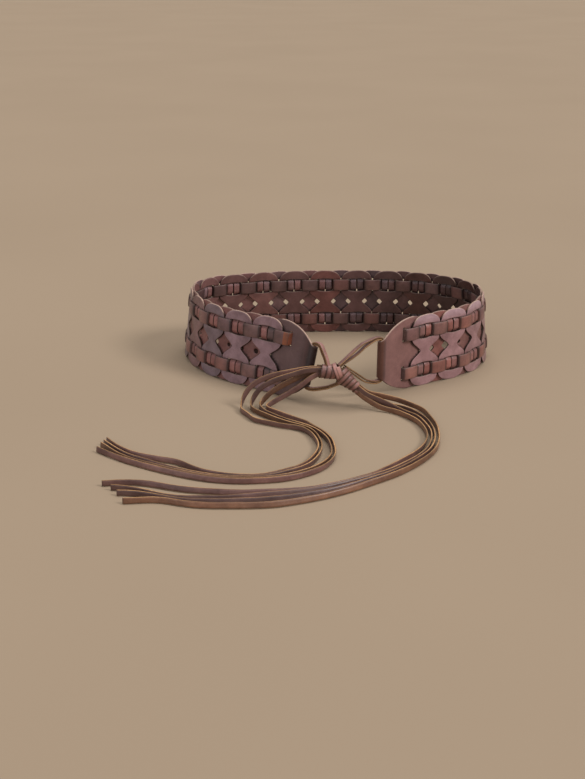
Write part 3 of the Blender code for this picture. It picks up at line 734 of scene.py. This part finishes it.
def tab_pattern():
    """The tab lies flat: along is positive into the belt and negative past the fold."""
    quarter = [(0.0, TOP, 0.003), *link_quarter(0.0124)[1:]]
    ways = np.array([0.06, 0.2, 0.36, 0.52, 0.66, 0.78, 0.89, 1.0]) * (FOLD_START + FOLD_RADIUS)
    arch = [(-way, float(tab_edge(way)), 0.002) for way in ways]
    end = -FOLD_START - math.pi * FOLD_RADIUS - FLAP_LENGTH
    roll = [(-FOLD_START - 0.0075, TAB_END_HEIGHT / 2, 0.001), (end, TAB_END_HEIGHT / 2 - 0.0004, 0.002)]
    outline = whole_side(quarter) + whole_side(arch + roll)[::-1]
    holes = []
    for sign in (1, -1):
        for centre, slack in ((QUARTER, 0.0), (-QUARTER, 0.0006)):
            left, right = centre - WINDOW_SLACK, centre + WINDOW_SLACK
            low, high = LOW - slack, HIGH + slack
            box = ((left, low), (right, low), (right, high), (left, high))
            holes.append(rounded([(a, sign * u, 0.0006) for a, u in box], 0.0007))
    return pattern(rounded(outline), holes)


# Colour of each tab and of its fold, with the right tab and its fold lighter as painted light and the left ones
# darker as painted shade
LEFT_TONES = np.array([[0.86, 0.8, 0.82], [0.5, 0.34, 0.3]])
RIGHT_TONES = np.array([[1.62, 1.36, 1.3], [1.0, 0.66, 0.46]])


def add_tab(left, flat):
    name = "left_tab" if left else "right_tab"

    def place(points, level):
        x, y = points.T
        way = -x - FOLD_START
        turn = np.clip(way / FOLD_RADIUS, 0, math.pi)
        flap = np.maximum(way - math.pi * FOLD_RADIUS, 0.0)
        bent = -FOLD_START - (FOLD_RADIUS + level) * np.sin(turn) + flap
        along = np.where(way > 0, bent, x)
        lift = np.where(way > 0, -FOLD_RADIUS + (FOLD_RADIUS + level) * np.cos(turn), level)
        sag = (0.0006 + LAYER_DEPTH) * bars_in(points) * (x > 0)
        sag = sag - 0.0008 * smooth_step(0.0086, 0.007, np.abs(x)) * in_row(np.abs(y), -0.0005, 0.0025)
        run = along if left else WALL.length - along
        return WALL.place(run, -LAYER_DEPTH + sag + lift, BELT_HEIGHT / 2 + y)

    def colour_and_painted_light(points, far, side):
        along, up = points[:, 0], np.abs(points[:, 1])
        # Painted shade towards the fold, much stronger on the left tab
        to_fold = -along / FOLD_START
        shade = 1.0 - (0.62 if left else 0.15) * smooth_step(0.72, 1.0, to_fold)
        tone, turned = LEFT_TONES if left else RIGHT_TONES
        roll = smooth_step(FOLD_START + 0.0004, FOLD_START + 0.0018, -along)[:, None]
        colour = tone * (1 - roll) + turned * roll
        # On the left tab, a painted shade band 27 mm out, and a redder colour towards the fold
        if left:
            shade = shade * (1 - 0.22 * np.exp(-(((-along - 0.027) / 0.0022) ** 2)))
            colour = colour * (1 - smooth_step(0.7, 0.95, to_fold)[:, None] * np.array([0.0, 0.26, 0.28]))
        # Painted shade line where the fold starts
        shade = shade * (1 - 0.5 * np.exp(-(((-along - FOLD_START) / 0.0007) ** 2)))
        if side > 0:
            # Painted shade in the slots and painted shadow where the links cover the tab
            slot = np.maximum(np.abs(np.abs(along) - QUARTER) - WINDOW_SLACK, 0.0)
            slot = slot + np.maximum(np.abs(up - STRAP_RISE) - 0.0068, 0.0)
            shade = shade * dimmed(0.6, 0.0, 0.0011, slot)
            covered = PITCH / 2 - cover_edge(up) - along
            flat_part = (1 - bars_in(points) * (along > 0)) * (up < 0.03)
            shade = shade * dimmed(0.85 * flat_part, -0.0003, 0.0022, covered)
        return shade[:, None] * colour

    def wear_and_edge_light(points):
        # High along the arch, for paler wear and lit cut edges there; low elsewhere, which paints the cut edges in
        # shadow
        return 0.1 + 0.9 * smooth_step(0.014, 0.02, points[:, 1]) * (points[:, 0] < 0.004)

    made = add_sheet(name + "_leather", flat, place, colour_and_painted_light, wear_and_edge_light, (TAB, CUT))
    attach(made, "root")
    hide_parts(name)


def add_tabs():
    flat = tab_pattern()
    add_tab(True, flat)
    add_tab(False, flat)


# Laces, by points of (across, back, height) in millimetres. Each tail has its points in the air and then, as
# across and back only, its points on the floor.
LEFT_TAILS = (
    (
        (-23.1, -120.6, 38.3), (-30.5, -121.2, 38.3), (-48.5, -122.5, 35.5), (-62, -123, 33), (-74, -123.5, 29),
        (-83.5, -124, 23.5), (-91, -125, 15.5), (-94.5, -127.5, 8), (-96, -133, 3), (-95, -141), (-91, -148),
        (-82.5, -164), (-71, -176.5), (-55, -186), (-41.5, -194.5), (-31.5, -208.5), (-26.5, -229), (-29, -248.5),
        (-40.5, -264.5), (-57, -274.5), (-78, -281), (-102, -282), (-126.5, -271.5), (-145.5, -260), (-164, -254),
        (-190, -241), (-213.5, -213),
    ),
    (
        (-22.9, -124.9, 38.3), (-30.5, -125.5, 38.1), (-46, -126, 34), (-58.5, -126, 30), (-69, -125, 25),
        (-77.5, -123.5, 18.5), (-83, -123, 11), (-86, -126, 5), (-86.5, -132.5), (-83, -140.5), (-73.5, -151.5),
        (-60, -165.5), (-47, -176.5), (-32, -189.5), (-22.5, -207.5), (-19, -230), (-22, -251.5), (-34.5, -269.5),
        (-53.5, -281.5), (-78, -288), (-102.5, -288), (-132, -277), (-158, -263.5), (-186.5, -248.5),
        (-215.5, -219),
    ),
    (
        (-23.2, -120.7, 34), (-30.6, -121.6, 33.4), (-43, -122.3, 28.5), (-54.5, -122.3, 22.5), (-64.5, -121.8, 16),
        (-71.5, -121.3, 9.5), (-76, -122.5, 4.5), (-78, -128), (-75.5, -135.5), (-69.5, -144), (-58, -156.5),
        (-43, -169), (-26.5, -184), (-16, -204), (-12, -229), (-16, -254), (-29, -274.5), (-48.5, -288),
        (-75, -294.5), (-105.5, -294), (-135.5, -283.5), (-164.5, -268.5), (-191.5, -252.5), (-218, -225.5),
    ),
    (
        (-24, -125.2, 33), (-29, -126.2, 30.5), (-35, -127.4, 26), (-43, -127.8, 20), (-52.5, -127.3, 13.7),
        (-61.5, -126.5, 8), (-68, -127, 4), (-71.5, -131), (-70, -137), (-64.5, -142.5), (-54.5, -152.5),
        (-40, -163), (-22.5, -179), (-9.5, -200.5), (-5.5, -227.5), (-9.5, -255), (-22, -279), (-42.5, -294),
        (-71.5, -301), (-106.5, -300.5), (-136.5, -291), (-168, -274.5), (-194, -257), (-219.5, -234.5),
    ),
)
RIGHT_TAILS = (
    (
        (17, -128.6, 16.2), (21.7, -129.9, 12.5), (30, -133, 7.8), (40, -137.5, 4), (51, -143), (62.5, -159),
        (72, -181.5), (74, -202.5), (68, -224.5), (54, -245.5), (37, -264.5), (18.5, -280), (-2.5, -293),
        (-27, -303.5), (-56.5, -312.5), (-85, -317), (-114, -318), (-143, -313), (-173, -303.5), (-204.5, -304.5),
    ),
    (
        (19.3, -129.2, 19.4), (24.4, -130.5, 15.6), (34, -132.5, 11.8), (45, -135, 7.5), (55, -139, 3.6),
        (63, -148), (69, -155.5), (77, -180), (78, -204), (72, -229), (57, -253), (38, -272.5), (18, -288),
        (-3.5, -301.5), (-28, -313), (-55.5, -321.5), (-85, -326.5), (-113.5, -327.5), (-139.5, -323.5),
        (-167.5, -315), (-195, -313),
    ),
    (
        (17.9, -124.8, 16.2), (22.7, -126.1, 12.4), (31, -127.5, 7.6), (41, -128.3, 4.6), (51, -129.5),
        (62, -135.5), (74, -150.5), (82, -177.5), (83, -204), (76, -233.5), (59.5, -259), (39, -281), (17.5, -297),
        (-4.5, -311.5), (-29, -323.5), (-55.5, -333), (-84.5, -337.5), (-111, -338.5), (-137, -335.5),
        (-163.5, -327.5), (-187.5, -326.5),
    ),
    (
        (20.4, -125.4, 19.4), (25.4, -126.5, 16), (35, -126.6, 13.3), (46, -125.8, 10.5), (57, -126, 7.5),
        (68, -129.5, 4.5), (77.5, -137.5), (82, -151.5), (87, -177.5), (87.2, -206.5), (80, -237.7), (62.5, -265.5),
        (41, -288), (18, -305.5), (-5, -321), (-30, -334), (-56.5, -343.5), (-82.5, -349), (-109.5, -351),
        (-135.5, -349), (-160.5, -340.5), (-182.5, -338.5),
    ),
)
LEFT_LOOP = (
    (-12.7, -121.3, 43), (-14.8, -119.2, 50), (-17.8, -116.3, 57.4), (-19, -115, 61.6), (-22, -112, 63.4),
    (-25, -109, 61.6), (-26.2, -107.6, 56.6), (-26.9, -108, 53), (-29, -109.5, 42), (-31, -110.9, 32),
    (-33, -112.3, 22), (-33.6, -112.9, 18), (-32.1, -113.8, 13.6), (-28, -114.9, 11.8), (-21, -116.8, 13.6),
    (-14, -118.8, 17.2), (-8, -120.6, 20.6), (-3.4, -121.9, 22.8),
)
RIGHT_LOOP = (
    (1.8, -116.4, 42.4), (10, -111.3, 48), (20, -105.2, 55), (30, -99, 61.2), (36.6, -94.9, 63.4),
    (40.2, -92.7, 61.6), (41.7, -91.6, 56.6), (41.7, -91.5, 53), (41.6, -91.4, 42), (41.6, -91.4, 32),
    (41.5, -91.3, 22), (41.5, -91.4, 18), (40.1, -92.4, 13.6), (36.4, -94.6, 11.8), (30, -98.8, 14.6),
    (20, -105.4, 23.2), (13, -110, 30), (7.7, -113.4, 35),
)


def frames(path, up):
    """Directions along, across (the thong's width) and through it, the width kept near the wanted up direction."""
    along = unit(np.gradient(path, axis=0))
    wide = unit(up - (up * along).sum(axis=1)[:, None] * along)
    return along, wide, np.cross(along, wide)


THONG = (
    (-1.0, -0.5), (-0.9, -1.0), (-0.4, -1.0), (0.4, -1.0), (0.9, -1.0), (1.0, -0.5),
    (1.0, 0.5), (0.9, 1.0), (0.4, 1.0), (-0.4, 1.0), (-0.9, 1.0), (-1.0, 0.5),
)
THONG_EDGES = (4, 5, 6, 10, 11, 0)
GRAIN = (1.0, 1.0, 1.0)
FLESH = (1.12, 1.02, 0.62)


def add_thong(name, path, up, width, thick, hues, seed, wear_and_edge_light=0.9, edge=1.0):
    """A flat leather thong along path, with its width along up. hues colours its two wide faces."""
    chance = np.random.default_rng(seed)
    along, wide, through = frames(path, up)
    reach = lengths_along(path)
    slim = 1 - 0.05 * np.abs(np.sin(reach * 105 + seed)) - 0.03 * np.abs(np.sin(reach * 310 + 2 * seed))
    thin = 1 + 0.07 * np.sin(reach * 170 + 3 * seed)
    verts = [
        path + wide * (a * width / 2 * slim)[:, None] + through * (b * thick / 2 * thin)[:, None] for a, b in THONG
    ]
    total, sides = len(path), len(THONG)
    faces, slots = [], []
    for k in range(sides):
        faces += quads(k, (k + 1) % sides, total)
        slots += [int(k in THONG_EDGES)] * (total - 1)
    faces += [tuple(k * total for k in range(sides)), tuple(k * total + total - 1 for k in reversed(range(sides)))]
    made = add_mesh(name, np.concatenate(verts), faces, (LACE_SKIN, LACE_CUT), [*slots, 1, 1])
    # Cut edges are lit at the thong's sides and painted in shadow at their corners; low values, as in the knot,
    # paint them darker
    pale = wear_and_edge_light * (0.75 + 0.25 * np.sin(reach * 60 + chance.uniform(0, 6)))
    paint(made, "rim", np.concatenate([pale if abs(a) > 0.95 else 0.12 * pale for a, _ in THONG]))
    tone = 1 + 0.12 * np.sin(reach * 45 + chance.uniform(0, 6)) + 0.07 * np.sin(reach * 130 + chance.uniform(0, 6))
    # edge darkens the colour near the edges, as painted shade
    colour_and_painted_light = [tone[:, None] * np.array(hues[int(b > 0)]) * (edge if abs(a) > 0.8 else 1.0) for a, b in THONG]
    paint(made, "colour_and_painted_light", np.concatenate(colour_and_painted_light))
    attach(made, "root")
    return made


def metres(points):
    return [tuple(round(value / 1000, 4) for value in point) for point in points]


def evenly(route, step):
    """Points a step apart on the smooth curve through the route."""
    dense = smooth_curve(route, 900)
    reach = lengths_along(dense)
    even = np.linspace(0.0, reach[-1], int(reach[-1] / step))
    return at_lengths(even, reach, dense)


FLOOR_GAP = 0.0002
UPRIGHT = np.array([0.0, 0.0, 1.0])
# Lane of each thong of a bundle at shares of its way along the surface. Lane 0 is the first tail's own way and
# lane 3 the last one's. The lean tables give, at such shares, how many degrees the thongs lean over.
LEFT_LANES = (
    (0, 0, 1, 2, 3), (0.06, 0, 1, 1.6, 3), (0.14, 0.4, 1, 1.5, 2.6), (0.2, 0.8, 1.2, 1.65, 2.1),
    (0.3, 0.5, 0.9, 1.9, 2.4), (0.38, 0.2, 0.7, 2.2, 2.8), (0.48, 0.8, 1.25, 2.1, 2.6), (0.58, 1.5, 1.9, 2.3, 2.7),
    (0.68, 1, 1.9, 2.3, 2.7), (0.78, 0.1, 1.9, 2.3, 2.7), (0.88, 0, 1.4, 2.2, 2.7), (1, 0, 0.9, 1.7, 2.9),
)
RIGHT_LANES = (
    (0, 0, 1, 2, 3), (0.08, 0.5, 1.2, 1.9, 3), (0.18, 0.5, 1.5, 2, 2.9), (0.3, 0.6, 1.7, 2.1, 2.8),
    (0.45, 1.3, 1.7, 2.2, 2.8), (0.55, 1.2, 1.55, 2.2, 2.9), (0.68, 0.6, 1.2, 2, 2.9), (0.8, 0.1, 1.5, 2, 2.6),
    (0.9, 0, 1.8, 2.1, 2.4), (1, 0, 0.9, 1.7, 2.9),
)
LEFT_LEAN = ((0.0, 0.0), (0.2, 10.0), (0.36, -8.0), (0.55, 8.0), (0.8, 18.0), (1.0, 8.0))
RIGHT_LEAN = ((0.0, 0.0), (0.25, -6.0), (0.45, 12.0), (0.62, 26.0), (0.85, 18.0), (1.0, 5.0))


def lane_of(lanes, number, share):
    rows = np.array(lanes)
    after = np.clip(np.searchsorted(rows[:, 0], share, side="right"), 1, len(rows) - 1)
    part = smooth_step(0.0, 1.0, (share - rows[after - 1, 0]) / (rows[after, 0] - rows[after - 1, 0]))
    return rows[after - 1, 1 + number] * (1 - part) + rows[after, 1 + number] * part


def bundle_paths(tails, lanes, lean):
    """Even paths of a bundle's thongs and the up direction at each point."""
    rest = LACE_WIDTH / 2 + FLOOR_GAP
    shares = np.linspace(0.0, 1.0, 400)
    paths, laid = [], []
    for tail in map(metres, tails):
        landing = next(point for point in tail if len(point) == 2)
        path = evenly([(*point, rest)[:3] for point in tail], 0.0015)
        inwards = (path[0] - path[3]) / np.linalg.norm(path[0] - path[3])
        path = np.concatenate([[path[0] + inwards * d for d in (0.007, 0.0055, 0.004, 0.0027, 0.0013)], path])
        touch = np.argmin(np.linalg.norm(path[:, :2] - np.array(landing), axis=1))
        paths.append((path, touch))
        after = path[touch:]
        reach = lengths_along(after)
        laid.append(at_lengths(shares * reach[-1], reach, after[:, :2]))
    made = []
    for number, (path, touch) in enumerate(paths):
        reach = lengths_along(path)
        share = np.clip((reach - reach[touch]) / (reach[-1] - reach[touch]), 0.0, 1.0)
        ways = np.array([[np.interp(share, shares, way[:, axis]) for way in laid] for axis in (0, 1)])
        lane = np.clip(lane_of(lanes, number, share), 0.0, 3.0)
        low = np.minimum(lane.astype(int), 2)
        spots = np.arange(len(path))
        target = ways[:, low, spots] * (1 - lane + low) + ways[:, low + 1, spots] * (lane - low)
        path = path.copy()
        path[touch:, :2] = target.T[touch:]
        tilt = np.radians(np.interp(share, *np.transpose(lean)) + 3.0 * np.sin(share * 23 + number))
        level = unit(np.cross(np.gradient(path, axis=0), UPRIGHT))
        up = UPRIGHT * np.cos(tilt)[:, None] + level * np.sin(tilt)[:, None]
        least = LACE_WIDTH / 2 * np.cos(tilt) + LACE_THICK / 2 * np.abs(np.sin(tilt)) * 1.1 + FLOOR_GAP
        path[:, 2] = np.where(share > 0.03, least, np.maximum(path[:, 2], least))
        for _ in range(3):
            path[1:-1] = 0.25 * path[:-2] + 0.5 * path[1:-1] + 0.25 * path[2:]
        made.append((path, up))
    return made


# The two faces and the tone of each tail
TAIL_FACES = (
    (GRAIN, GRAIN), (GRAIN, FLESH), (FLESH, GRAIN), (GRAIN, GRAIN),
    (GRAIN, FLESH), (GRAIN, GRAIN), (GRAIN, GRAIN), (FLESH, FLESH),
)
TAIL_TONES = (1.0, 0.7, 0.75, 1.15, 0.95, 0.7, 0.65, 1.05)


def add_tails(knot):
    paths = bundle_paths(LEFT_TAILS, LEFT_LANES, LEFT_LEAN) + bundle_paths(RIGHT_TAILS, RIGHT_LANES, RIGHT_LEAN)
    for number, (path, up) in enumerate(paths):
        hues = [tuple(TAIL_TONES[number] * v for v in face) for face in TAIL_FACES[number]]
        made = add_thong(f"tail_{number + 1}", path, up, LACE_WIDTH, LACE_THICK, hues, number + 3)
        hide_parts(f"lace_tail_{number + 1}")
        tuple(path[0])
        float(lengths_along(path)[-1])
        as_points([tuple(p) for p in path[::2]] + [tuple(path[-1])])


LOOP_THONG = LACE_WIDTH * 0.86
LOOP_TOP = 0.0565
LOOP_BASE = 0.0188
# Side, route, how far the thongs bow apart and the colours of their two faces, the left loop's lightened as a
# painted highlight
LOOPS = (
    ("left", LEFT_LOOP, 0.0002, ((1.7, 1.65, 1.65), (1.9, 1.85, 1.85))),
    ("right", RIGHT_LOOP, 0.0016, ((1.25, 1.2, 1.15), (1.35, 1.3, 1.25))),
)


def add_loops():
    for side, route, bow, hues in LOOPS:
        middle = evenly(metres(route), 0.0012)
        high, low = middle[:, 2] - LOOP_TOP, LOOP_BASE - middle[:, 2]
        middle[:, 2] += np.where(high > 0, -0.45 * high, 0) + np.where(low > 0, 0.45 * low, 0)
        first, last = middle[0] - middle[3], middle[-1] - middle[-4]
        ends = [middle[0] + first / np.linalg.norm(first) * d for d in (0.0052, 0.0039, 0.0026, 0.0013)]
        tails = [middle[-1] + last / np.linalg.norm(last) * d for d in (0.0013, 0.0026, 0.0039, 0.0052)]
        middle = np.concatenate([ends, middle, tails])
        reach = lengths_along(middle) / lengths_along(middle)[-1]
        _, level, up = frames(middle, middle.mean(axis=0) - middle)
        free = 1.6 * np.sin(np.clip(reach / 0.34, 0, 1) * math.pi) ** 2
        free = free + 0.35 * np.sin(np.clip((1 - reach) / 0.34, 0, 1) * math.pi) ** 2
        for number, (apart, share) in enumerate(((-0.0009, -0.3), (0.0009, 1.0))):
            path = middle + level * (apart + share * bow * free)[:, None]
            name = f"{side}_loop_thong_{number + 1}"
            made = add_thong(name, path, up, LOOP_THONG, LACE_THICK, hues, 20 + number, 0.7)
            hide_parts(f"{side}_lace_loop")
            tuple(path[0])
            float(lengths_along(path)[-1])
            [tuple(p) for p in path]


# The knot
KNOT_CENTRE = np.array([-0.0034, -0.1215, 0.035])
BARREL_WAY = np.array([0.995, 0.07, -0.07])
COIL_WAY = np.array([0.775, -0.193, -0.602])
RING_WAY = np.array([0.86, 0.1, 0.34])
TURN_POINTS = 44
# Axis, where it starts and stops on it, radius and taper of each set of core thongs
CORES = ((COIL_WAY, 0.0, 0.0262, 0.0052, 0.35), (BARREL_WAY, -0.018, 0.007, 0.0046, 0.0))
CORE_POINTS = 16


def square_to(way):
    way = way / np.linalg.norm(way)
    side = np.cross(way, UPRIGHT)
    side /= np.linalg.norm(side)
    return way, side, np.cross(side, way)


def winding(way, start, stop, radii, turns, phase, cone=0.0):
    """Points of a winding about an axis and its width direction, which leans outwards by cone degrees."""
    way, side, over = square_to(way)
    t = np.linspace(0.0, 1.0, int(turns * TURN_POINTS) + 1)
    angle = phase + 2 * math.pi * turns * t
    radial = side * np.cos(angle)[:, None] + over * np.sin(angle)[:, None]
    radius = np.interp(t, np.linspace(0, 1, len(radii)), radii)
    path = KNOT_CENTRE + way * (start + (stop - start) * t)[:, None] + radial * radius[:, None]
    lean = math.radians(cone)
    return path, way * math.cos(lean) - radial * math.sin(lean)


def add_knot():
    made = []
    # The last two numbers of each winding paint its edges dark, as painted shade in the gaps between the turns; the
    # ring's pale colour is a painted highlight
    path, up = winding(COIL_WAY, 0.0045, 0.0262, (0.008, 0.007, 0.0058, 0.0048, 0.0042), 4.9, 0.6, 21.0)
    made.append(add_thong("knot_coil", path, up, 0.0048, 0.0017, 2 * ((1.55, 1.5, 1.5),), 31, 0.25, 0.4))
    path, up = winding(BARREL_WAY, -0.017, -0.003, (0.0054, 0.0062, 0.0064), 2.8, 2.0, 3.0)
    made.append(add_thong("knot_barrel", path, up, 0.006, 0.0016, 2 * ((1.55, 1.45, 1.42),), 32, 0.2, 0.4))
    path, up = winding(RING_WAY, -0.0016, 0.0024, (0.0082, 0.0084), 1.5, 4.0)
    made.append(add_thong("knot_ring", path, up, 0.0048, 0.0018, 2 * ((2.7, 2.7, 2.7),), 33, 0.3, 0.5))
    hues = 2 * ((0.55, 0.48, 0.45),)
    t = np.linspace(0.0, 1.0, CORE_POINTS)
    for number, (way, start, stop, radius, taper) in enumerate(CORES):
        along, side, over = square_to(way)
        for k in range(4):
            angle = math.pi / 4 + k * math.pi / 2
            off = (side * math.cos(angle) + over * math.sin(angle)) * (radius * (1 - taper * t) * 0.5)[:, None]
            path = KNOT_CENTRE + along * (start + (stop - start) * t)[:, None] + off
            name = f"knot_core_{4 * number + k + 1}"
            made.append(add_thong(name, path, np.tile(UPRIGHT, (CORE_POINTS, 1)), 0.0042, 0.0034, hues, 40 + k, 0.2))
    for piece in made:
        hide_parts("knot")
    return made


FLOOR_REACH = 14.0
FLOOR_LEVEL = -0.0001


def add_floor():
    verts = [(x * FLOOR_REACH, y * FLOOR_REACH, FLOOR_LEVEL) for x, y in ((-1, -1), (1, -1), (1, 1), (-1, 1))]
    n = Nodes("floor paper")
    mottle = n.ramp(n.noise(2.2, 2.0, 0.5), 0.35, 0.65)
    paper = n.surface({
        "Base Color": n.mix(mottle, (0.33, 0.248, 0.173), (0.34, 0.256, 0.179)),
        "Normal": n.bump(n.noise(700.0, 2.0, 0.6), 0.0002, 0.15),
        "Roughness": 0.92, "Specular IOR Level": 0.1,
    })
    add_mesh("floor", verts, [(0, 1, 2, 3)], (paper,))


add_links()
add_strap("upper_strap", BELT_HEIGHT / 2 + STRAP_RISE, 5)
add_strap("lower_strap", BELT_HEIGHT / 2 - STRAP_RISE, 9)
add_tabs()
add_tails(add_knot())
add_loops()
add_floor()
